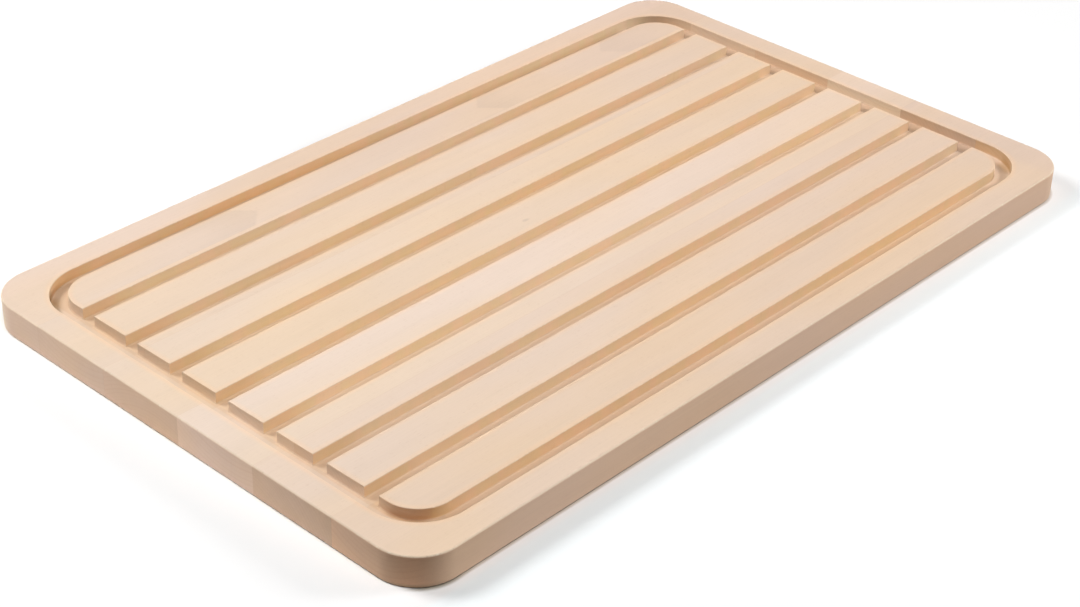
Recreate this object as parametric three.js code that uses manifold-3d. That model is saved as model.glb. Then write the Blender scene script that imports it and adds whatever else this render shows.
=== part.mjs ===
// Bread board: one beech panel, glued edge to edge from full-length staves and then machined.
// A groove runs round the board inside its rim, and straight crumb grooves run along the grain
// from one end of it to the other, so that slats are left standing between them for the loaf.
//
// Frame: millimetres, the origin on the underside at the middle of the board, +X along the grain,
// +Y towards the back edge and +Z up.

import * as THREE from 'three';
import Module from 'manifold-3d';
import { mergeVertices } from 'three/addons/utils/BufferGeometryUtils.js';

// The finished board
const boardLength = 530;
const boardWidth = 325;
const boardThickness = 18;
const boardCornerRadius = 25;
const topArrisRadius = 1;
const bottomArrisRadius = 1.2;

// The grooves and the rim outside them
const endRimWidth = 16.3;
const sideRimWidth = 16;
const grooveWidth = 9.7;
const grooveDepth = 6.6;
const grooveBendRadius = 25;
const grooveArrisRadius = 0.5;
const grooveFloorRadius = 0.8;
const slatCount = 8;

// The staves, from the middle joint outwards. The two edge staves take what is left of the width.
const middleJointOffset = 2.5;
const midBackStaveWidth = 57.5;
const backStaveWidth = 54;
const midFrontStaveWidth = 55.5;
const frontStaveWidth = 54.5;

// How far a cutter runs past the wood, and how finely round stretches are stepped
const cutOverrun = 2;
const bendDivisions = 10;
const arrisSteps = 4;

// Colours of the wood, as sRGB
const yellowBeech = 0xeed3b8;
const paleBeech = 0xefd6c2;
const pinkBeech = 0xe9cfb4;
const sandedWoodRoughness = 0.62;

const halfLength = boardLength / 2;
const halfWidth = boardWidth / 2;
const quarterTurn = Math.PI / 2;

const wasm = await Module();
wasm.setup();

// A closed three.js geometry as a solid that can be joined and cut.
function solidFrom(geometry) {
  const bare = geometry.clone();
  bare.deleteAttribute('normal');
  bare.deleteAttribute('uv');
  const merged = mergeVertices(bare);
  return new wasm.Manifold(new wasm.Mesh({
    numProp: 3,
    vertProperties: new Float32Array(merged.attributes.position.array),
    triVerts: new Uint32Array(merged.index.array),
  }));
}

// The outline of a rectangle with round corners, centred on the origin.
function roundedOutline(reachX, reachY, radius) {
  const cornerX = reachX - radius;
  const cornerY = reachY - radius;
  const outline = new THREE.Shape();
  outline.absarc(cornerX, -cornerY, radius, -quarterTurn, 0);
  outline.absarc(cornerX, cornerY, radius, 0, quarterTurn);
  outline.absarc(-cornerX, cornerY, radius, quarterTurn, 2 * quarterTurn);
  outline.absarc(-cornerX, -cornerY, radius, 2 * quarterTurn, 3 * quarterTurn);
  return outline.getPoints(bendDivisions);
}

// The outline of a plain rectangle between two places across the board.
function plainOutline(reachX, lowY, highY) {
  return [
    new THREE.Vector2(-reachX, lowY),
    new THREE.Vector2(reachX, lowY),
    new THREE.Vector2(reachX, highY),
    new THREE.Vector2(-reachX, highY),
  ];
}

// A closed body through a stack of outlines, lowest first. Each level gives its height and how far
// the body's outline is grown there, and every outline has the same number of points.
function stackedBody(levels, outlineGrownBy) {
  const rings = levels.map((level) => outlineGrownBy(level.grow));
  const pointCount = rings[0].length;
  const positions = [];
  rings.forEach((ring, index) => {
    ring.forEach((point) => positions.push(point.x, point.y, levels[index].z));
  });

  const triangles = [];
  for (let index = 1; index < rings.length; index += 1) {
    const lower = (index - 1) * pointCount;
    const upper = index * pointCount;
    for (let here = 0; here < pointCount; here += 1) {
      const next = (here + 1) % pointCount;
      triangles.push(lower + here, lower + next, upper + next);
      triangles.push(lower + here, upper + next, upper + here);
    }
  }
  const top = (rings.length - 1) * pointCount;
  THREE.ShapeUtils.triangulateShape(rings[0], []).forEach(([first, second, third]) => {
    triangles.push(third, second, first);
    triangles.push(top + first, top + second, top + third);
  });

  const geometry = new THREE.BufferGeometry();
  geometry.setAttribute('position', new THREE.Float32BufferAttribute(positions, 3));
  geometry.setIndex(triangles);
  return solidFrom(geometry);
}

// Levels along a quarter circle. Side 1 rounds an edge of the body inwards, and side -1 flares it
// outwards. The quarter starts below the centre's height, at it, or between, as startAngle says.
function quarterRound(centreZ, radius, startAngle, side) {
  const levels = [];
  for (let step = 0; step <= arrisSteps; step += 1) {
    const angle = startAngle + (quarterTurn * step) / arrisSteps;
    levels.push({
      z: centreZ + radius * Math.sin(angle),
      grow: side * radius * (Math.cos(angle) - 1),
    });
  }
  return levels;
}

// The wall of a groove, from its floor to the top of the board: a small round at the floor and an
// eased edge at the top. Side 1 gives the cutter's outside, and side -1 the wood that it goes round.
function grooveWallLevels(side) {
  const floorZ = boardThickness - grooveDepth;
  return [
    ...quarterRound(floorZ + grooveFloorRadius, grooveFloorRadius, -quarterTurn, side),
    ...quarterRound(boardThickness - grooveArrisRadius, grooveArrisRadius, 0, -side),
    { z: boardThickness + cutOverrun, grow: side * grooveArrisRadius },
  ];
}

// The glued panel after it is cut to its outline and its edges are rounded over.
function panelBlank() {
  const levels = [
    ...quarterRound(bottomArrisRadius, bottomArrisRadius, -quarterTurn, 1),
    ...quarterRound(boardThickness - topArrisRadius, topArrisRadius, 0, 1),
  ];
  return stackedBody(levels, (grow) => roundedOutline(
    halfLength + grow,
    halfWidth + grow,
    boardCornerRadius + grow,
  ));
}

// What the cutter takes out on its way round the board, inside the rim.
function rimGrooveCut() {
  const outerLevels = grooveWallLevels(1);
  const outer = stackedBody(outerLevels, (grow) => roundedOutline(
    halfLength - endRimWidth + grow,
    halfWidth - sideRimWidth + grow,
    grooveBendRadius + grooveWidth / 2 + grow,
  ));
  const foot = { z: boardThickness - grooveDepth - cutOverrun, grow: grooveFloorRadius };
  const innerLevels = [foot, ...grooveWallLevels(-1)];
  const inner = stackedBody(innerLevels, (grow) => roundedOutline(
    halfLength - endRimWidth - grooveWidth + grow,
    halfWidth - sideRimWidth - grooveWidth + grow,
    grooveBendRadius - grooveWidth / 2 + grow,
  ));
  return outer.subtract(inner);
}

// What the cutter takes out between two slats. It starts and ends in the middle of the rim groove.
function crumbGrooveCut(centreY) {
  const reachX = halfLength - endRimWidth - grooveWidth / 2;
  return stackedBody(grooveWallLevels(1), (grow) => plainOutline(
    reachX + grow,
    centreY - grooveWidth / 2 - grow,
    centreY + grooveWidth / 2 + grow,
  ));
}

// The places of the crumb grooves across the board, evenly spread between the sides of the rim groove.
function crumbGroovePlaces() {
  const crumbGrooveCount = slatCount - 1;
  const slattedWidth = boardWidth - 2 * (sideRimWidth + grooveWidth);
  const slatWidth = (slattedWidth - crumbGrooveCount * grooveWidth) / slatCount;
  const pitch = slatWidth + grooveWidth;
  return Array.from(
    { length: crumbGrooveCount },
    (_, index) => (index - (crumbGrooveCount - 1) / 2) * pitch,
  );
}

// The whole machined panel, as one solid.
function machinedPanel() {
  let panel = panelBlank().subtract(rimGrooveCut());
  crumbGroovePlaces().forEach((centreY) => {
    panel = panel.subtract(crumbGrooveCut(centreY));
  });
  return panel;
}

// The space of one stave, between the glued joint in front of it and the one behind it.
function staveSpace(lowY, highY) {
  const levels = [
    { z: -cutOverrun, grow: 0 },
    { z: boardThickness + cutOverrun, grow: 0 },
  ];
  return stackedBody(levels, () => plainOutline(halfLength + cutOverrun, lowY, highY));
}

function sandedBeech(colour) {
  return new THREE.MeshStandardMaterial({
    color: colour,
    roughness: sandedWoodRoughness,
    metalness: 0,
  });
}

function stave(wholePanel, { name, lowY, highY, colour }) {
  const { vertProperties, triVerts } = wholePanel.intersect(staveSpace(lowY, highY)).getMesh();
  const geometry = new THREE.BufferGeometry();
  geometry.setAttribute('position', new THREE.BufferAttribute(vertProperties, 3));
  geometry.setIndex(new THREE.BufferAttribute(triVerts, 1));
  geometry.computeVertexNormals();
  const mesh = new THREE.Mesh(geometry, sandedBeech(colour));
  mesh.name = name;
  return mesh;
}

// The glued joints, as places across the board
const midFrontJoint = middleJointOffset - midFrontStaveWidth;
const frontJoint = midFrontJoint - frontStaveWidth;
const midBackJoint = middleJointOffset + midBackStaveWidth;
const backJoint = midBackJoint + backStaveWidth;
const pastTheEdge = halfWidth + cutOverrun;

const staves = [
  { name: 'front_edge_stave', lowY: -pastTheEdge, highY: frontJoint, colour: pinkBeech },
  { name: 'front_stave', lowY: frontJoint, highY: midFrontJoint, colour: pinkBeech },
  { name: 'mid_front_stave', lowY: midFrontJoint, highY: middleJointOffset, colour: paleBeech },
  { name: 'mid_back_stave', lowY: middleJointOffset, highY: midBackJoint, colour: yellowBeech },
  { name: 'back_stave', lowY: midBackJoint, highY: backJoint, colour: yellowBeech },
  { name: 'back_edge_stave', lowY: backJoint, highY: pastTheEdge, colour: yellowBeech },
];

const breadBoard = new THREE.Group();
const panel = machinedPanel();
staves.forEach((piece) => breadBoard.add(stave(panel, piece)));

export default breadBoard;
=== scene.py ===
import math

import bpy
from mathutils import Matrix, Vector


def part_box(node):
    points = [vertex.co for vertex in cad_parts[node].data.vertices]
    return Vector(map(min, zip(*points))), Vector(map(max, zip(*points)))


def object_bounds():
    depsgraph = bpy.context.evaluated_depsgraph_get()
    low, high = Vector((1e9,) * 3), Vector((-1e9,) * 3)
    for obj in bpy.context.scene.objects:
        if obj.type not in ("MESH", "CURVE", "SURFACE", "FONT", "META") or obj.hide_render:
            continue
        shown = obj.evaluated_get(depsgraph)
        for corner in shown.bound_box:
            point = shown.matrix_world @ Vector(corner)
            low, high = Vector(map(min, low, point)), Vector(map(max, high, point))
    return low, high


# Looks of the bread board: six glued beech staves, sanded and left untreated, on a white floor.
# Everything is in metres, in the frame of the CAD model: +X along the grain, +Y to the back, +Z up.
# Left and right are the board's ends at -X and +X, as the photograph's camera sees them.
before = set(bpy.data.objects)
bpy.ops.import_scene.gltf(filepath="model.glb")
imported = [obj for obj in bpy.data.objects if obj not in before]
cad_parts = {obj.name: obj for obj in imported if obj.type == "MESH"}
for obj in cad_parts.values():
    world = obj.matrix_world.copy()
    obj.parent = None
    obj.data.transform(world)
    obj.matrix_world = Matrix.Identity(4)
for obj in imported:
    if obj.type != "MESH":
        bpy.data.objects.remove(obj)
cad_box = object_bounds()

MM = 0.001

# The photograph's camera
CAMERA_PLACE = Vector((-0.78948, -0.71418, 0.64191))
CAMERA_AIM = Vector((-0.06766, -0.05050, 0.01800))
CAMERA_ROLL = math.radians(1.533)
CAMERA_LENS = 74.5
SENSOR_WIDTH = 36
CAMERA_REACH = 50

# The board, from the frame, and its rounded corners
BOARD_TOP = cad_box[1].z
HALF_LENGTH = cad_box[1].x
HALF_WIDTH = cad_box[1].y
CORNER_RADIUS = 25 * MM
CORNER_CENTRE = (HALF_LENGTH - CORNER_RADIUS, HALF_WIDTH - CORNER_RADIUS)

# The middle lines of the grooves: round the board, with bends, and straight ones a pitch apart
GROOVE_HALF = 4.85 * MM
BEND_RADIUS = 25 * MM
BEND_CENTRE = (218.85 * MM, 116.65 * MM)
CRUMB_PITCH = 35.4125 * MM
CRUMB_REACH = (243.85 * MM, 124 * MM)

# How surfaces are told apart. A line in the rim parts the outer faces from the routed ones, a height
# under the grooves parts the underside, and other heights part the tops from what lies below them.
# END_FACING and BACK_FACING limit a part of the normal, and LEVEL_FACING the square of its upright part.
RIM_LINE = 10.5 * MM
LINE_FADE = 1 * MM
UNDER_GROOVES = 10 * MM
BELOW_TOP = (BOARD_TOP - 0.8 * MM, BOARD_TOP - 0.2 * MM)
NEAR_TOP = (BOARD_TOP - 3 * MM, BOARD_TOP - 1.5 * MM)
END_FACING = (0.35, 0.9)
BACK_FACING = 0.7
LEVEL_FACING = 0.5

# Brings the product of two shares that add up to 1 to its peak of 1, where both are a half
FULL_AT_HALF = 4.0

WHITE = (1.0, 1.0, 1.0)

# The wood's figure: waves a metre along the grain and across it, for each kind of noise, and the
# range in which most values of a noise lie. Each stave shifts the noise by its seed times a step.
# Wander is how far the grain strays from a straight line.
WANDER_WAVES = (4, 9)
FIBRE_WAVES = (26, 1500)
STREAK_WAVES = (5, 160)
CLOUD_WAVES = (11, 34)
DRIFT_WAVES = (8, 26)
BURNISH_WAVES = (90, 30)
CHIP_WAVES = 420.0
RIPPLE_WAVES = 900.0
NOISE_MIDDLE = (0.3, 0.7)
BURNISH_MIDDLE = (0.35, 0.65)
SEED_STEP = 1.7
FIBRE_HARSHNESS = 0.6
WANDER = 5 * MM

# Growth rings: how uneven the years are, when in a year the late wood starts and is darkest, and how
# faint the faintest year is
UNEVEN_PER_YEAR = 0.23
UNEVEN_ALONG = 2.0
UNEVEN_YEARS = 2.4
LATE_START = 0.45
LATE_PEAK = 0.93
YEAR_STEP = 3.7
FAINTEST_YEAR = 0.25

# Rays: their size, the distance from the pith at which the thickness holds, the part of each cell of
# the noise that one fills, how many cells have one, and how strong the faintest and the others are
RAY_LENGTH = 4 * MM
RAY_THICKNESS = 0.45 * MM
RAY_DEPTH = 20 * MM
RAY_TURN_RADIUS = 62 * MM
RAY_EDGE = (0.16, 0.34)
RAY_CHANCE = (0.55, 0.75)
RAY_FAINTEST = 0.7
RAY_RANGE = 0.6

# How strongly each kind of figure shows, and its darker tones
FIBRE_TONE = 0.08
STREAK_TONE = 0.035
CLOUD_TONE = 0.08
YEAR_TONE_FACE = 0.03
YEAR_TONE_END = 0.22
RAY_TONE_FACE = 0.15
RAY_TONE_END = 0.07
LATE_WOOD = (0.68, 0.45, 0.29)
RAY_WOOD = (0.52, 0.31, 0.19)

# Slow drifts of tone, as factors on the colour, and where the rim's right end has its own tone
WARM_DRIFT = (1.015, 1.0, 0.965)
PINK_DRIFT = (0.990, 1.0, 1.035)
LEFT_TONE = (0.985, 1.010, 1.028)
RIGHT_TONE = (1.004, 0.990, 0.980)
RIGHT_RIM = (0.975, 0.975, 1.0)
RIGHT_RIM_START = (239.5 * MM, 249.5 * MM)

# How cut and sanded surfaces differ from the sanded top, as factors on its colour; some paint light and
# shade
LONG_FACE = (1.07, 0.98, 0.92)
END_FACE = (1.06, 0.99, 0.95)
# Painted bounce light on the groove walls, painted shade colour on groove floors, and painted shade at the
# walls' feet
GROOVE_WALL_BOUNCE = (1.05, 1.03, 0.905)
GROOVE_FLOOR_SHADE = (1.00, 0.975, 0.92)
GROOVE_FOOT_SHADE = (0.92, 0.91, 0.91)
SLAT_END = (1.12, 1.21, 1.32)
CUT_END = (0.98, 0.98, 0.93)
BURNISH_OLIVE = (0.980, 1.006, 0.960)
BURNISH_ORANGE = (1.020, 0.992, 1.000)
CORNER_FOOT_HEIGHT = 3 * MM

# The rim groove's long walls change from a left tone to a right one between two places. The grooves
# have other tones near the ends of the board, each from where it starts to where it stops.
RIM_WALL_LEFT = (1.00, 0.91, 0.80)
RIM_WALL_RIGHT = (1.01, 1.10, 1.165)
RIM_WALL_CHANGE = (-120 * MM, 180 * MM)
LEFT_ENDS = (0.955, 0.905, 0.83)
LEFT_ENDS_START = (-241.5 * MM, -240.5 * MM)
LEFT_ENDS_STOP = (-228 * MM, -200 * MM)
RIGHT_ENDS = (0.965, 0.985, 1.020)
RIGHT_ENDS_START = (185 * MM, 225 * MM)
RIGHT_ENDS_STOP = (240.5 * MM, 241.5 * MM)
# Painted shade: the rim groove's floor a little darker and cooler at its left end
LEFT_FLOOR_SHADE = (0.93, 0.935, 0.96)
# Painted shadow of the right wall on the rim groove's floor at its right end, fading out towards the front
RIGHT_FLOOR_SHADOW = (0.82, 0.77, 0.73)
RIGHT_SHADOW_START = (-120 * MM, -105 * MM)
RIM_FLOOR_REACH = 222 * MM

# Edges eased by hand: a painted highlight beside each groove and on the arrises, and chips along them
EDGE_HIGHLIGHT = (1.06, 1.00, 0.92)
EDGE_REACH = 4 * MM
# Inner arrises that face the back get a painted highlight, and those that face the front painted shade
FRONT_ARRIS_SHADE = (0.88, 0.88, 0.87)
BACK_ARRIS_HIGHLIGHT = (1.16, 1.17, 1.17)
ARRIS_HIGHLIGHT = (0.97, 0.80, 0.60)
ARRIS_HIGHLIGHT_SHARE = 0.45
CHIP_LIGHT = (0.98, 0.86, 0.70)
CHIP_DARK = (0.58, 0.40, 0.26)
LIGHT_CHIPS = (0.60, 0.68)
LIGHT_CHIP_SHARE = 0.5
DARK_CHIPS = (0.30, 0.36)
DARK_CHIP_SHARE = 0.3

# Marks. Painted shade darkens the walls of the rim groove and the floor beside them, least at the top.
# Distances across the rim groove are measured from the bend's centre.
OLIVE_SHADE = (0.66, 0.54, 0.35)
RED_SHADE = (0.62, 0.43, 0.27)
SHADE_HEIGHTS = (12.5 * MM, 16.5 * MM)
SHADE_AT_TOP = 0.35
OUTER_WALL_FOOT = (22 * MM, 28 * MM)
INNER_WALL_FOOT = (21.0 * MM, 22.2 * MM)
STAIN = (0.80, 0.80, 0.82)
# Painted light: a paler pool on the rim groove's floor beside the slats
LIGHT_POOL = (1.36, 1.42, 1.48)
LIGHT_POOL_FLOOR = (22 * MM, 24.5 * MM)
WEDGE_EDGE = 3 * MM
WEDGE_HALF_WIDTH = 11 * MM
GLUE = (0.72, 0.55, 0.40)
GLUE_REACH = 0.22 * MM
GLUE_SHARE = 0.2

# Relief, as heights that each kind of figure adds, and gloss
RELIEF = 0.04 * MM
RELIEF_STRENGTH = 0.6
FIBRE_HEIGHT = 0.5
RAY_HEIGHT = -0.5
LATE_HEIGHT = 0.35
RIPPLE_HEIGHT = 0.8
GLOSS = 0.10
ROUGHNESS = 0.52
FIBRE_ROUGHNESS = 0.16
END_ROUGHNESS = 0.15
RAY_ROUGHNESS = -0.12

# Shading across the facets of round stretches
SMOOTH_BELOW = math.radians(35)
MERGE_WITHIN = 0.002 * MM

# The lamps: the way to each in plan, its elevation in degrees, its distance, its width and its level
LAMPS = {
    "key_lamp": dict(towards=(-0.5, 0.866), elevation=44, distance=1.9, width=0.75, level=0.60),
    "top_lamp": dict(towards=(-0.5, -0.866), elevation=75, distance=3.5, width=1.4, level=0.50),
    "right_lamp": dict(towards=(0.79, -0.613), elevation=21, distance=3.2, width=1.1, level=0.50),
}
WORLD_LEVEL = 0.02
FLOOR_HALF = 15

# Light that the floor passes on: plain, more towards the left and back, and none before the camera
LEFT_AND_BACK = (-0.87, 0.5)
TO_CAMERA = (-0.70, -0.71)
BOUNCE_PLAIN = 0.50
BOUNCE_AT_LEFT = 0.94
BOUNCE_CHANGE = (0.0, 0.3)
BOUNCE_STOP = (0.25, 0.37)

# The floor as it is seen: its grey, at the left, and before the board's front, and its cool shade there
# The seen grey is lower near the board than at the left and far before its front: a painted shadow
FLOOR_COLOUR = 0.87
FLOOR_AT_LEFT = 0.99
FLOOR_AT_LEFT_START = (0.1, 0.2)
FLOOR_BEFORE = 0.97
FLOOR_BEFORE_START = (-182 * MM, -166 * MM)
FLOOR_SHADE = (1.0, 1.045, 1.06)
FLOOR_SHADE_START = (-170 * MM, -165 * MM)

# A painted contact shadow: the dark line where the board meets the floor, at its front corner and along its
# front
CORNER_CONTACT = (0.36, 0.32, 0.26)
CONTACT_SHADE = (0.62, 0.53, 0.46)
CONTACT_REACH = (2.8 * MM, 2.2 * MM)
CONTACT_CHANGE = (-250 * MM, -225 * MM)
CONTACT_START = (-158 * MM, -150 * MM)

# A glow that lifts the seen floor a little from the left end to the right one, and to white far away
FLOOR_GLOW = (0.0, 0.15)
GLOW_CHANGE = (-0.25, 0.25)
FAR_GLOW = 0.9
FAR_FLOOR = (0.8, 2.0)

# Each stave: the pith of its tree across the board and above it, how far that moves for each metre of
# length, the width of a year, and its colour. Then factors on that colour:
#   end          its left end face
#   cut_end      the wall of the rim groove at its right end
#   corner       the round corner at its left end, with painted shade on the lowest part of that
#   left, right  the board's two ends, with a slow change between them
#   across       from one place across the board to another
# Painted shades, stains and painted pools of light have a middle, a reach along and across, and a share,
# and painted shades have a colour too. Wedges have a tip, the way they open, a length and a share.
STAVES = {
    "back_edge_stave": dict(
        pith=(0.128, -0.052), lean=(0.010, 0.016), year=2.3 * MM, seed=1,
        colour=(0.778, 0.586, 0.442), end=(1.07, 1.00, 0.97), cut_end=(0.95, 0.97, 0.91),
        corner=(1.11, 1.30, 1.31), left=(0.985, 1.030, 1.075), right=(1.00, 1.00, 1.02),
        across=(0.1460, 0.1470, (1.02, 1.015, 1.03)),
        painted_shades=[
            (-0.2450, 0.1335, 0.011, 0.011, 0.7, OLIVE_SHADE),
            (0.0, 0.1465, 0.400, 0.008, 0.16, OLIVE_SHADE),
        ],
        stains=[(-0.030, 0.155, 0.120, 0.030, 0.22)],
        wedges=[
            (-0.108, 0.125, -1, 0.055, 0.32),
            (0.063, 0.127, 1, 0.035, 0.32),
            (0.174, 0.127, 1, 0.045, 0.25),
        ],
    ),
    "back_stave": dict(
        pith=(0.079, 0.083), lean=(-0.012, 0.010), year=2.7 * MM, seed=2,
        colour=(0.791, 0.612, 0.472), end=(1.07, 0.985, 0.94), cut_end=(1.01, 1.04, 1.02),
    ),
    "mid_back_stave": dict(
        pith=(0.022, -0.061), lean=(0.008, -0.014), year=2.1 * MM, seed=3,
        colour=(0.810, 0.626, 0.473), end=(1.04, 0.93, 0.87), cut_end=(0.98, 0.955, 0.90),
        stains=[(-0.011, 0.014, 0.003, 0.0015, 0.6)],
    ),
    "mid_front_stave": dict(
        pith=(-0.038, 0.070), lean=(-0.006, -0.012), year=2.5 * MM, seed=4,
        colour=(0.841, 0.664, 0.530), end=(1.12, 1.02, 0.97), cut_end=(1.00, 1.06, 1.03),
        across=(-0.025, -0.042, (0.968, 0.965, 0.955)),
    ),
    "front_stave": dict(
        pith=(-0.040, -0.030), lean=(0.014, 0.008), year=2.2 * MM, seed=5,
        colour=(0.800, 0.617, 0.478), end=(1.08, 0.97, 0.89), cut_end=(0.87, 0.835, 0.77),
        across=(-0.066, -0.056, (1.00, 1.01, 1.04)),
    ),
    "front_edge_stave": dict(
        pith=(-0.139, 0.064), lean=(-0.009, 0.012), year=2.6 * MM, seed=6,
        colour=(0.793, 0.609, 0.464), end=(1.24, 1.08, 0.975), cut_end=(0.92, 0.84, 0.66),
        corner=(0.99, 0.89, 0.84), corner_foot_shade=(0.60, 0.62, 0.60), left=(0.980, 0.985, 0.980),
        painted_shades=[
            (-0.2360, -0.1258, 0.0145, 0.0145, 0.62, RED_SHADE),
            (0.2420, -0.1335, 0.0090, 0.0090, 0.65, OLIVE_SHADE),
        ],
        # A painted pool of light on the floor beside the front right slat end
        light_pools=[(0.2290, -0.1330, 0.018, 0.018, 1.0)],
    ),
}

# What a stave has where its own facts leave it out
PLAIN_STAVE = dict(
    corner=WHITE, corner_foot_shade=WHITE, left=LEFT_TONE, right=RIGHT_TONE, across=None,
    painted_shades=[], stains=[], wedges=[], light_pools=[],
)


class Nodes:
    """Adds nodes to a tree in short calls. Each call gives the new node's main output."""

    def __init__(self, tree):
        self.tree = tree
        tree.nodes.clear()

    def add(self, kind, **settings):
        node = self.tree.nodes.new(kind)
        for name, value in settings.items():
            setattr(node, name, value)
        return node

    def feed(self, socket, value):
        if isinstance(value, bpy.types.NodeSocket):
            self.tree.links.new(value, socket)
        else:
            socket.default_value = value

    def math(self, operation, *values):
        node = self.add("ShaderNodeMath", operation=operation)
        for socket, value in zip(node.inputs, values):
            self.feed(socket, value)
        return node.outputs[0]

    def product(self, *values):
        result = values[0]
        for value in values[1:]:
            result = self.math("MULTIPLY", result, value)
        return result

    def highest(self, *values):
        result = values[0]
        for value in values[1:]:
            result = self.math("MAXIMUM", result, value)
        return result

    def rest(self, share):
        """What a share leaves of 1."""
        return self.math("SUBTRACT", 1.0, share)

    def squares(self, first, second):
        return self.math("ADD", self.product(first, first), self.product(second, second))

    def along(self, x, y, heading):
        """How far a place lies from the origin along a heading."""
        return self.math("ADD", self.product(x, heading[0]), self.product(y, heading[1]))

    def past_corner(self, x, y, centre):
        """How far a place lies outside the plain rectangle that reaches to the corner centres."""
        past = []
        for place, start in zip((x, y), centre):
            past.append(self.highest(self.math("SUBTRACT", self.math("ABSOLUTE", place), start), 0.0))
        return self.math("SQRT", self.squares(*past))

    def vector(self, *values):
        node = self.add("ShaderNodeCombineXYZ")
        for socket, value in zip(node.inputs, values):
            self.feed(socket, value)
        return node.outputs[0]

    def split(self, vector):
        node = self.add("ShaderNodeSeparateXYZ")
        self.feed(node.inputs[0], vector)
        return node.outputs

    def noise(self, vector, detail=2.0, roughness=0.5):
        node = self.add("ShaderNodeTexNoise")
        self.feed(node.inputs["Vector"], vector)
        node.inputs["Scale"].default_value = 1
        node.inputs["Detail"].default_value = detail
        node.inputs["Roughness"].default_value = roughness
        return node.outputs["Fac"]

    def spread(self, value, low, high, to_low=0.0, to_high=1.0):
        """Value from low to high becomes to_low to to_high, eased at both ends and held outside."""
        node = self.add("ShaderNodeMapRange", interpolation_type="SMOOTHSTEP")
        limits = {"Value": value, "From Min": low, "From Max": high, "To Min": to_low, "To Max": to_high}
        for name, number in limits.items():
            self.feed(node.inputs[name], number)
        return node.outputs["Result"]

    def fade(self, value, low, high):
        return self.spread(value, low, high, 1.0, 0.0)

    def between(self, value, start, stop):
        """1 between two places, rising over the range of the first and falling over the second's."""
        return self.product(self.spread(value, *start), self.fade(value, *stop))

    def from_share(self, share, at_none, at_full):
        """A number that goes from at_none to at_full as share goes from 0 to 1."""
        return self.spread(share, 0.0, 1.0, at_none, at_full)

    def around(self, value, size, middle=0.0):
        """Value from 0 to 1 becomes a swing of the given size about the middle."""
        return self.math("MULTIPLY_ADD", value, size, middle - size / 2)

    def blend(self, share, first, second, how="MIX"):
        """A colour: first where share is 0 and second where it is 1."""
        node = self.add("ShaderNodeMix", data_type="RGBA", blend_type=how)
        self.feed(node.inputs["Factor"], share)
        for socket, value in zip(node.inputs[6:8], (first, second)):
            self.feed(socket, (*value, 1.0) if isinstance(value, tuple) else value)
        return node.outputs[2]

    def tinted(self, colour, factor, share=1.0):
        return self.blend(share, colour, factor, how="MULTIPLY")


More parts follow.
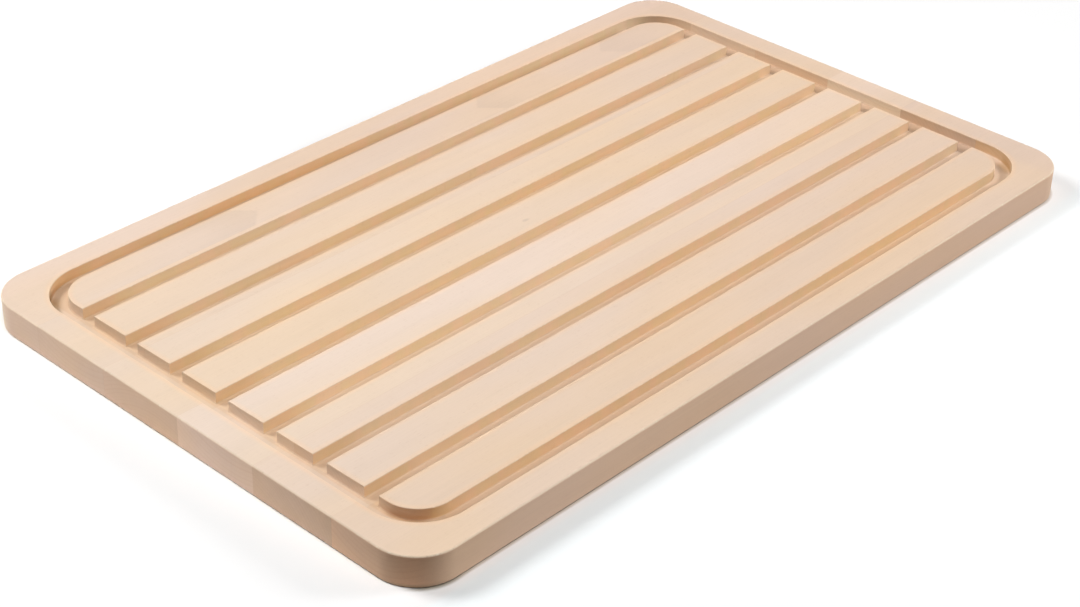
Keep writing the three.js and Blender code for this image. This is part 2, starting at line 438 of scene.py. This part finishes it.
class Wood:
    """What a stave's material is made from: a point's place, and which kind of surface it lies on."""

    def __init__(self, nodes, seed):
        self.nodes = nodes
        self.seed = seed
        self.x, self.y, self.z = nodes.split(nodes.add("ShaderNodeTexCoord").outputs["Object"])
        self.at_left = nodes.math("LESS_THAN", self.x, 0.0)
        self.from_bend = nodes.past_corner(self.x, self.y, BEND_CENTRE)
        self.sort_by_direction()
        self.sort_by_place()

    def sort_by_direction(self):
        """Shares for the ways in which a surface can face."""
        nodes = self.nodes
        normal = nodes.split(nodes.add("ShaderNodeNewGeometry").outputs["Normal"])
        level_share = nodes.product(normal[2], normal[2])
        oblique = nodes.product(normal[0], normal[1])
        self.oblique = nodes.product(oblique, oblique, FULL_AT_HALF)
        self.end = nodes.spread(nodes.math("ABSOLUTE", normal[0]), *END_FACING)
        self.upright = nodes.fade(level_share, 0.0, LEVEL_FACING)
        self.slanted = nodes.product(level_share, nodes.rest(level_share), FULL_AT_HALF)
        self.faces_back = nodes.spread(normal[1], -BACK_FACING, BACK_FACING)

    def sort_by_place(self):
        """Shares for the parts of the board on which a surface can lie."""
        nodes = self.nodes
        upper = nodes.spread(self.z, UNDER_GROOVES - LINE_FADE, UNDER_GROOVES)
        near_top = nodes.spread(self.z, *NEAR_TOP)
        self.outside = self.beyond_rim_line()
        self.level = nodes.product(nodes.rest(self.upright), upper)
        self.routed = nodes.product(nodes.rest(self.outside), nodes.fade(self.z, *BELOW_TOP), upper)
        self.arris = nodes.product(self.slanted, near_top)
        self.foot = nodes.product(self.slanted, nodes.rest(near_top))
        by_groove = nodes.fade(self.groove_distance(), 0.0, EDGE_REACH)
        self.edge = nodes.product(by_groove, near_top, self.level)

    def beyond_rim_line(self):
        nodes = self.nodes
        sides = []
        for place, half in ((self.x, HALF_LENGTH), (self.y, HALF_WIDTH)):
            line = half - RIM_LINE
            sides.append(nodes.spread(nodes.math("ABSOLUTE", place), line - LINE_FADE, line + LINE_FADE))
        return nodes.highest(*sides)

    def groove_distance(self):
        """How far a point is from the nearest groove, seen from above, and negative inside one."""
        nodes = self.nodes
        from_rim_groove = nodes.math("ABSOLUTE", nodes.math("SUBTRACT", self.from_bend, BEND_RADIUS))
        from_crumb_groove = nodes.math("PINGPONG", self.y, CRUMB_PITCH / 2)
        outside_slats = nodes.highest(
            nodes.math("GREATER_THAN", nodes.math("ABSOLUTE", self.x), CRUMB_REACH[0]),
            nodes.math("GREATER_THAN", nodes.math("ABSOLUTE", self.y), CRUMB_REACH[1]),
        )
        from_crumb_groove = nodes.math("ADD", from_crumb_groove, outside_slats)
        nearest = nodes.math("MINIMUM", from_rim_groove, from_crumb_groove)
        return nodes.math("SUBTRACT", nearest, GROOVE_HALF)

    def figure(self, waves, **settings):
        """Noise with so many waves a metre along the grain and across it."""
        nodes = self.nodes
        along, across = waves
        shift = self.seed * SEED_STEP
        return nodes.noise(nodes.vector(
            nodes.math("MULTIPLY_ADD", self.x, along, shift),
            nodes.math("MULTIPLY_ADD", self.y, across, shift),
            nodes.math("MULTIPLY_ADD", self.z, across, shift),
        ), **settings)

    def grain_of_surface(self, waves, third):
        """Noise with as many waves a metre along the board as across it, and none upwards."""
        nodes = self.nodes
        place = nodes.vector(nodes.product(self.x, waves), nodes.product(self.y, waves), third)
        return nodes.noise(place, 1.0)

    def spot(self, centre_x, centre_y, reach_x, reach_y, share):
        """Share at a place on the board, seen from above, fading to nothing at its reach."""
        nodes = self.nodes
        along = nodes.math("DIVIDE", nodes.math("SUBTRACT", self.x, centre_x), reach_x)
        across = nodes.math("DIVIDE", nodes.math("SUBTRACT", self.y, centre_y), reach_y)
        return nodes.product(nodes.fade(nodes.squares(along, across), 0.0, 1.0), share)

    def wedge(self, tip_x, tip_y, heading, length, share):
        """Share behind a pointed edge, as where a year's growth runs out at the surface."""
        nodes = self.nodes
        from_tip = nodes.product(nodes.math("SUBTRACT", self.x, tip_x), heading)
        aside = nodes.math("ABSOLUTE", nodes.math("SUBTRACT", self.y, tip_y))
        inside = nodes.math("SUBTRACT", from_tip, aside)
        body = nodes.product(nodes.spread(inside, 0.0, WEDGE_EDGE), nodes.fade(inside, WEDGE_EDGE, length))
        return nodes.product(body, nodes.fade(aside, WEDGE_HALF_WIDTH, 2 * WEDGE_HALF_WIDTH), share)


def growth(wood, pith, lean):
    """A point's distance from the pith of its tree and its turn about it. The grain wanders a little."""
    nodes = wood.nodes
    wander = nodes.around(wood.figure(WANDER_WAVES, detail=1.0), WANDER)
    offsets = []
    for place, start, slope in ((wood.y, pith[0], lean[0]), (wood.z, pith[1], lean[1])):
        middle = nodes.math("MULTIPLY_ADD", wood.x, slope, start)
        offsets.append(nodes.math("SUBTRACT", nodes.math("ADD", place, wander), middle))
    radius = nodes.math("SQRT", nodes.squares(*offsets))
    turn = nodes.math("ARCTAN2", *offsets)
    return radius, turn


def year_lines(wood, radius, year):
    """Growth rings: each year darkens slowly and ends in a thin line, in some years a faint one."""
    nodes = wood.nodes
    years = nodes.math("DIVIDE", radius, year)
    unevenness = nodes.noise(nodes.vector(
        nodes.product(years, UNEVEN_PER_YEAR),
        wood.seed,
        nodes.product(wood.x, UNEVEN_ALONG),
    ), 1.0)
    years = nodes.math("MULTIPLY_ADD", unevenness, UNEVEN_YEARS, years)
    part = nodes.math("FRACT", years)
    late = nodes.product(nodes.spread(part, LATE_START, LATE_PEAK), nodes.fade(part, LATE_PEAK, 1.0))
    which_year = nodes.product(nodes.math("FLOOR", years), YEAR_STEP)
    strength = nodes.noise(nodes.vector(which_year, wood.seed, 0.0), 0.0)
    return nodes.product(late, nodes.spread(strength, *NOISE_MIDDLE, FAINTEST_YEAR, 1.0))


def ray_flecks(wood, radius, turn):
    """Rays: thin sheets that stand out from the pith, cut as short dashes along the grain."""
    nodes = wood.nodes
    cells = nodes.add("ShaderNodeTexVoronoi", voronoi_dimensions="3D", feature="F1")
    cells.inputs["Scale"].default_value = 1
    nodes.feed(cells.inputs["Vector"], nodes.vector(
        nodes.math("DIVIDE", wood.x, RAY_LENGTH),
        nodes.product(turn, RAY_TURN_RADIUS / RAY_THICKNESS),
        nodes.math("DIVIDE", radius, RAY_DEPTH),
    ))
    chance, tone, _ = nodes.split(cells.outputs["Color"])
    ray = nodes.product(
        nodes.fade(cells.outputs["Distance"], *RAY_EDGE),
        nodes.spread(chance, *RAY_CHANCE),
    )
    return ray, nodes.math("MULTIPLY_ADD", tone, RAY_RANGE, RAY_FAINTEST)


def sanded_colour(wood, colour, fibre, late, ray, ray_tone):
    """The wood's colour before any surface changes it."""
    nodes = wood.nodes
    shade = nodes.around(fibre, FIBRE_TONE, 1.0)
    shade = nodes.math("ADD", shade, nodes.around(wood.figure(STREAK_WAVES), STREAK_TONE))
    shade = nodes.math("ADD", shade, nodes.around(wood.figure(CLOUD_WAVES), CLOUD_TONE))
    tint = nodes.tinted(nodes.vector(shade, shade, shade), colour)
    drift = nodes.spread(wood.figure(DRIFT_WAVES, detail=1.0), *NOISE_MIDDLE)
    tint = nodes.tinted(tint, nodes.blend(drift, WARM_DRIFT, PINK_DRIFT))
    year_share = nodes.product(late, nodes.from_share(wood.end, YEAR_TONE_FACE, YEAR_TONE_END))
    tint = nodes.blend(year_share, tint, LATE_WOOD)
    ray_share = nodes.product(ray, ray_tone, nodes.from_share(wood.upright, RAY_TONE_FACE, RAY_TONE_END))
    return nodes.blend(ray_share, tint, RAY_WOOD)


def drifted(wood, tint, left, right, across):
    """Slow changes of tone: along the board, and from one side of a stave to the other."""
    nodes = wood.nodes
    along = nodes.blend(nodes.spread(wood.x, -HALF_LENGTH, HALF_LENGTH), left, right)
    tint = nodes.tinted(tint, along)
    on_right_rim = nodes.product(nodes.spread(wood.x, *RIGHT_RIM_START), wood.level)
    tint = nodes.tinted(tint, RIGHT_RIM, on_right_rim)
    if across is None:
        return tint
    start, finish, factor = across
    return nodes.tinted(tint, factor, nodes.product(nodes.spread(wood.y, start, finish), wood.level))


def outer_factor(wood, end, corner, corner_foot_shade):
    """The factor on the colour for the board's outside: top, long faces, end faces and corners, with
    painted shade.
    """
    nodes = wood.nodes
    side = nodes.blend(wood.end, LONG_FACE, nodes.blend(wood.at_left, END_FACE, end))
    at_corner = nodes.product(wood.oblique, wood.at_left)
    side = nodes.tinted(side, corner, at_corner)
    factor = nodes.blend(wood.upright, WHITE, side)
    # Painted shade low on the round corner, where the board meets the floor
    low = nodes.fade(wood.z, 0.0, CORNER_FOOT_HEIGHT)
    return nodes.tinted(factor, corner_foot_shade, nodes.product(at_corner, low))


def groove_floor_factor(wood):
    """The factor for groove floors, with painted shade in the rim groove at the board's two ends."""
    nodes = wood.nodes
    in_rim_groove = nodes.math("GREATER_THAN", wood.from_bend, BEND_RADIUS - GROOVE_HALF)
    at_right = nodes.math("GREATER_THAN", wood.x, RIM_FLOOR_REACH)
    at_right = nodes.product(in_rim_groove, at_right, nodes.spread(wood.y, *RIGHT_SHADOW_START))
    at_left = nodes.product(in_rim_groove, nodes.math("LESS_THAN", wood.x, -RIM_FLOOR_REACH))
    return nodes.tinted(nodes.tinted(GROOVE_FLOOR_SHADE, RIGHT_FLOOR_SHADOW, at_right), LEFT_FLOOR_SHADE, at_left)


def groove_factor(wood, cut_end):
    """The factor for the walls and floors of the grooves, with painted bounce light and painted shade."""
    nodes = wood.nodes
    by_rim = nodes.math("GREATER_THAN", wood.from_bend, BEND_RADIUS)
    rim_end = nodes.blend(wood.at_left, cut_end, CUT_END)
    wall = nodes.blend(wood.end, GROOVE_WALL_BOUNCE, nodes.blend(by_rim, SLAT_END, rim_end))
    factor = nodes.blend(wood.upright, groove_floor_factor(wood), wall)
    burnish = nodes.spread(wood.figure(BURNISH_WAVES, detail=1.0), *BURNISH_MIDDLE)
    long_wall = nodes.product(wood.upright, nodes.rest(wood.end))
    factor = nodes.tinted(factor, nodes.blend(burnish, BURNISH_OLIVE, BURNISH_ORANGE), long_wall)
    rim_wall = nodes.blend(nodes.spread(wood.x, *RIM_WALL_CHANGE), RIM_WALL_LEFT, RIM_WALL_RIGHT)
    factor = nodes.tinted(factor, rim_wall, nodes.product(long_wall, by_rim))
    factor = nodes.tinted(factor, LEFT_ENDS, nodes.between(wood.x, LEFT_ENDS_START, LEFT_ENDS_STOP))
    factor = nodes.tinted(factor, RIGHT_ENDS, nodes.between(wood.x, RIGHT_ENDS_START, RIGHT_ENDS_STOP))
    return nodes.tinted(factor, GROOVE_FOOT_SHADE, wood.foot)


def painted_wall_shade(wood, tint, painted_shades):
    """Painted shade on the walls of the rim groove and on its floor beside them, darkest low down."""
    nodes = wood.nodes
    by_outer_wall = nodes.spread(wood.from_bend, *OUTER_WALL_FOOT)
    by_inner_wall = nodes.fade(wood.from_bend, *INNER_WALL_FOOT)
    by_wall = nodes.highest(wood.upright, by_outer_wall, by_inner_wall)
    strength = nodes.spread(wood.z, *SHADE_HEIGHTS, 1.0, SHADE_AT_TOP)
    can_shade = nodes.product(wood.routed, by_wall, strength)
    for *place, colour in painted_shades:
        tint = nodes.tinted(tint, colour, nodes.product(wood.spot(*place), can_shade))
    return tint


def marked(wood, tint, stains, wedges, light_pools):
    """Stains and wedges on level wood, and painted light on the inner half of the rim groove's floor."""
    nodes = wood.nodes
    for stain in stains:
        tint = nodes.tinted(tint, STAIN, nodes.product(wood.spot(*stain), wood.level))
    for wedge in wedges:
        tint = nodes.tinted(tint, STAIN, nodes.product(wood.wedge(*wedge), wood.level))
    on_floor = nodes.product(wood.routed, wood.level, nodes.fade(wood.from_bend, *LIGHT_POOL_FLOOR))
    for light_pool in light_pools:
        tint = nodes.tinted(tint, LIGHT_POOL, nodes.product(wood.spot(*light_pool), on_floor))
    return tint


def glued(wood, tint, stave_box):
    """A hairline of glue along each joint of the stave."""
    nodes = wood.nodes
    for side_y in (stave_box[0][1], stave_box[1][1]):
        if abs(side_y) > HALF_WIDTH - GLUE_REACH:
            continue
        distance = nodes.math("ABSOLUTE", nodes.math("SUBTRACT", wood.y, side_y))
        tint = nodes.tinted(tint, GLUE, nodes.product(nodes.fade(distance, 0.0, GLUE_REACH), GLUE_SHARE))
    return tint


def edge_highlights_and_chips(wood, tint):
    """Edges that were eased by hand: painted highlights on and beside them, with small chips along them."""
    nodes = wood.nodes
    tint = nodes.tinted(tint, EDGE_HIGHLIGHT, wood.edge)
    tint = nodes.blend(nodes.product(wood.arris, ARRIS_HIGHLIGHT_SHARE), tint, ARRIS_HIGHLIGHT)
    inside = nodes.product(wood.arris, nodes.rest(wood.outside))
    tint = nodes.tinted(tint, nodes.blend(wood.faces_back, FRONT_ARRIS_SHADE, BACK_ARRIS_HIGHLIGHT), inside)
    chips = wood.grain_of_surface(CHIP_WAVES, wood.seed)
    light = nodes.product(nodes.spread(chips, *LIGHT_CHIPS), wood.arris, LIGHT_CHIP_SHARE)
    dark = nodes.product(nodes.fade(chips, *DARK_CHIPS), wood.arris, DARK_CHIP_SHARE)
    return nodes.blend(dark, nodes.blend(light, tint, CHIP_LIGHT), CHIP_DARK)


def relief(wood, fibre, late, ray):
    """The bump of fibres, rays and late wood, and of the cutter's ripple inside the grooves."""
    nodes = wood.nodes
    ripple = nodes.product(wood.grain_of_surface(RIPPLE_WAVES, 0.0), wood.routed)
    height = nodes.product(fibre, FIBRE_HEIGHT)
    height = nodes.math("MULTIPLY_ADD", ray, RAY_HEIGHT, height)
    height = nodes.math("MULTIPLY_ADD", late, LATE_HEIGHT, height)
    height = nodes.math("MULTIPLY_ADD", ripple, RIPPLE_HEIGHT, height)
    bump = nodes.add("ShaderNodeBump")
    bump.inputs["Strength"].default_value = RELIEF_STRENGTH
    bump.inputs["Distance"].default_value = RELIEF
    nodes.feed(bump.inputs["Height"], height)
    return bump.outputs[0]


def surface_roughness(wood, fibre, ray):
    nodes = wood.nodes
    rough = nodes.math("MULTIPLY_ADD", fibre, FIBRE_ROUGHNESS, ROUGHNESS)
    rough = nodes.math("MULTIPLY_ADD", wood.end, END_ROUGHNESS, rough)
    return nodes.math("MULTIPLY_ADD", ray, RAY_ROUGHNESS, rough)


def beech(name, stave_box, facts):
    """Solid beech, cut from its tree along a line beside the pith."""
    stave = {**PLAIN_STAVE, **facts}
    material = bpy.data.materials.new(name)
    material.use_nodes = True
    nodes = Nodes(material.node_tree)
    wood = Wood(nodes, stave["seed"])
    radius, turn = growth(wood, stave["pith"], stave["lean"])
    late = year_lines(wood, radius, stave["year"])
    ray, ray_tone = ray_flecks(wood, radius, turn)
    fibre = wood.figure(FIBRE_WAVES, roughness=FIBRE_HARSHNESS)

    tint = sanded_colour(wood, stave["colour"], fibre, late, ray, ray_tone)
    tint = drifted(wood, tint, stave["left"], stave["right"], stave["across"])
    outside = outer_factor(wood, stave["end"], stave["corner"], stave["corner_foot_shade"])
    tint = nodes.tinted(tint, nodes.blend(wood.routed, outside, groove_factor(wood, stave["cut_end"])))
    tint = painted_wall_shade(wood, tint, stave["painted_shades"])
    tint = marked(wood, tint, stave["stains"], stave["wedges"], stave["light_pools"])
    tint = edge_highlights_and_chips(wood, glued(wood, tint, stave_box))

    shader = nodes.add("ShaderNodeBsdfPrincipled")
    shader.inputs["Specular IOR Level"].default_value = GLOSS
    nodes.feed(shader.inputs["Base Color"], tint)
    nodes.feed(shader.inputs["Roughness"], surface_roughness(wood, fibre, ray))
    nodes.feed(shader.inputs["Normal"], relief(wood, fibre, late, ray))
    output = nodes.add("ShaderNodeOutputMaterial")
    nodes.feed(output.inputs["Surface"], shader.outputs[0])
    return material


def smooth_shading():
    """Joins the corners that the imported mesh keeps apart, and shades round stretches as round."""
    tree = bpy.data.node_groups.new("smooth_shading", "GeometryNodeTree")
    tree.interface.new_socket("Geometry", in_out="INPUT", socket_type="NodeSocketGeometry")
    tree.interface.new_socket("Geometry", in_out="OUTPUT", socket_type="NodeSocketGeometry")
    nodes = Nodes(tree)
    given = nodes.add("NodeGroupInput").outputs[0]
    merge = nodes.add("GeometryNodeMergeByDistance")
    nodes.feed(merge.inputs["Geometry"], given)
    merge.inputs["Distance"].default_value = MERGE_WITHIN
    faces = nodes.add("GeometryNodeSetShadeSmooth", domain="FACE")
    nodes.feed(faces.inputs["Geometry"], merge.outputs[0])
    faces.inputs["Shade Smooth"].default_value = True
    angle = nodes.add("GeometryNodeInputMeshEdgeAngle").outputs["Unsigned Angle"]
    gentle = nodes.add("FunctionNodeCompare", data_type="FLOAT", operation="LESS_THAN")
    nodes.feed(gentle.inputs[0], angle)
    gentle.inputs[1].default_value = SMOOTH_BELOW
    edges = nodes.add("GeometryNodeSetShadeSmooth", domain="EDGE")
    nodes.feed(edges.inputs["Geometry"], faces.outputs[0])
    nodes.feed(edges.inputs["Shade Smooth"], gentle.outputs[0])
    output = nodes.add("NodeGroupOutput")
    nodes.feed(output.inputs[0], edges.outputs[0])
    return tree


def finish_stave(node, material, smoothing):
    node.data.materials.clear()
    node.data.materials.append(material)
    node.modifiers.new("smooth_shading", "NODES").node_group = smoothing
    weighted = node.modifiers.new("flat_faces_first", "WEIGHTED_NORMAL")
    weighted.keep_sharp = True


def make_camera():
    data = bpy.data.cameras.new("photo_camera")
    data.lens = CAMERA_LENS
    data.sensor_width = SENSOR_WIDTH
    data.clip_end = CAMERA_REACH
    camera = bpy.data.objects.new("photo_camera", data)
    looking = (CAMERA_AIM - CAMERA_PLACE).to_track_quat("-Z", "Y").to_matrix().to_4x4()
    rolled = looking @ Matrix.Rotation(CAMERA_ROLL, 4, "Z")
    camera.matrix_world = Matrix.Translation(CAMERA_PLACE) @ rolled
    bpy.context.scene.collection.objects.link(camera)
    bpy.context.scene.camera = camera


def soft_lamp(name, towards, elevation, distance, width, level):
    """A round lamp. Level is the share of its colour at which a surface that faces the lamp shows."""
    heading = Vector((towards[0], towards[1], 0)).normalized()
    lift = math.radians(elevation)
    direction = heading * math.cos(lift) + Vector((0, 0, math.sin(lift)))
    data = bpy.data.lights.new(name, "AREA")
    data.shape = "DISK"
    data.size = width
    data.energy = level * (math.pi * distance) ** 2
    lamp = bpy.data.objects.new(name, data)
    lamp.location = direction * distance
    lamp.rotation_euler = direction.to_track_quat("Z", "Y").to_euler()
    lamp.visible_camera = False
    bpy.context.scene.collection.objects.link(lamp)


def seen_directly(nodes):
    """1 for what the camera, a reflection or a clear surface sees, and 0 for light that is passed on."""
    path = nodes.add("ShaderNodeLightPath")
    return nodes.highest(*[path.outputs[f"Is {kind} Ray"] for kind in ("Camera", "Glossy", "Transmission")])


def make_world():
    """White where it is seen, and almost no light on the board."""
    world = bpy.data.worlds.new("studio")
    world.use_nodes = True
    nodes = Nodes(world.node_tree)
    background = nodes.add("ShaderNodeBackground")
    background.inputs["Color"].default_value = (*WHITE, 1.0)
    nodes.feed(background.inputs["Strength"], nodes.from_share(seen_directly(nodes), WORLD_LEVEL, 1.0))
    output = nodes.add("ShaderNodeOutputWorld")
    nodes.feed(output.inputs["Surface"], background.outputs[0])
    bpy.context.scene.world = world


def floor_grey(nodes, x, y, direct):
    """One grey for the light the floor passes on, and one where it is seen, lower near the board: painted
    shadow.
    """
    to_left = nodes.along(x, y, LEFT_AND_BACK)
    bounce = nodes.spread(to_left, *BOUNCE_CHANGE, BOUNCE_PLAIN, BOUNCE_AT_LEFT)
    bounce = nodes.product(bounce, nodes.fade(nodes.along(x, y, TO_CAMERA), *BOUNCE_STOP))
    seen = nodes.highest(
        nodes.spread(to_left, *FLOOR_AT_LEFT_START, FLOOR_COLOUR, FLOOR_AT_LEFT),
        nodes.spread(y, *FLOOR_BEFORE_START, FLOOR_BEFORE, FLOOR_COLOUR),
    )
    return nodes.from_share(direct, bounce, seen)


def contact_line(nodes, x, y, direct, colour):
    """Painted contact shadow: the floor darker close to the board's front corner and front face where seen.
    """
    from_board = nodes.math("SUBTRACT", nodes.past_corner(x, y, CORNER_CENTRE), CORNER_RADIUS)
    reach = nodes.spread(x, *CONTACT_CHANGE, *CONTACT_REACH)
    share = nodes.fade(nodes.math("DIVIDE", from_board, reach), 0.0, 1.0)
    share = nodes.product(direct, share, nodes.fade(y, *CONTACT_START))
    shade = nodes.blend(nodes.spread(x, *CONTACT_CHANGE), CORNER_CONTACT, CONTACT_SHADE)
    return nodes.tinted(colour, shade, share)


def floor_glow(nodes, x, y, direct):
    """A faint glow of the seen floor, and a strong one far from the board."""
    distance = nodes.math("SQRT", nodes.squares(x, y))
    far_glow = nodes.spread(distance, *FAR_FLOOR, 0.0, FAR_GLOW)
    level = nodes.math("ADD", nodes.spread(x, *GLOW_CHANGE, *FLOOR_GLOW), far_glow)
    return nodes.product(direct, level)


def white_floor():
    """Shows as white with the board's shadow on it, and passes on less light than it shows."""
    material = bpy.data.materials.new("white_floor")
    material.use_nodes = True
    nodes = Nodes(material.node_tree)
    direct = seen_directly(nodes)
    x, y, _ = nodes.split(nodes.add("ShaderNodeTexCoord").outputs["Object"])
    grey = floor_grey(nodes, x, y, direct)
    cool = nodes.product(direct, nodes.fade(y, *FLOOR_SHADE_START))
    colour = nodes.tinted(nodes.vector(grey, grey, grey), FLOOR_SHADE, cool)
    diffuse = nodes.add("ShaderNodeBsdfDiffuse")
    nodes.feed(diffuse.inputs["Color"], contact_line(nodes, x, y, direct, colour))
    glow = nodes.add("ShaderNodeEmission")
    nodes.feed(glow.inputs["Strength"], floor_glow(nodes, x, y, direct))
    both = nodes.add("ShaderNodeAddShader")
    nodes.feed(both.inputs[0], diffuse.outputs[0])
    nodes.feed(both.inputs[1], glow.outputs[0])
    output = nodes.add("ShaderNodeOutputMaterial")
    nodes.feed(output.inputs["Surface"], both.outputs[0])
    return material


def make_floor():
    half = FLOOR_HALF
    corners = [(-half, -half, 0), (half, -half, 0), (half, half, 0), (-half, half, 0)]
    mesh = bpy.data.meshes.new("floor")
    mesh.from_pydata(corners, [], [(0, 1, 2, 3)])
    mesh.materials.append(white_floor())
    floor = bpy.data.objects.new("floor", mesh)
    bpy.context.scene.collection.objects.link(floor)


make_camera()
make_world()
make_floor()
for lamp_name, lamp_facts in LAMPS.items():
    soft_lamp(lamp_name, **lamp_facts)

smoothing = smooth_shading()
for stave_name, stave_facts in STAVES.items():
    stave_wood = beech("beech_" + stave_name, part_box(stave_name), stave_facts)
    finish_stave(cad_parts[stave_name], stave_wood, smoothing)

bpy.context.scene.view_settings.view_transform = "Standard"
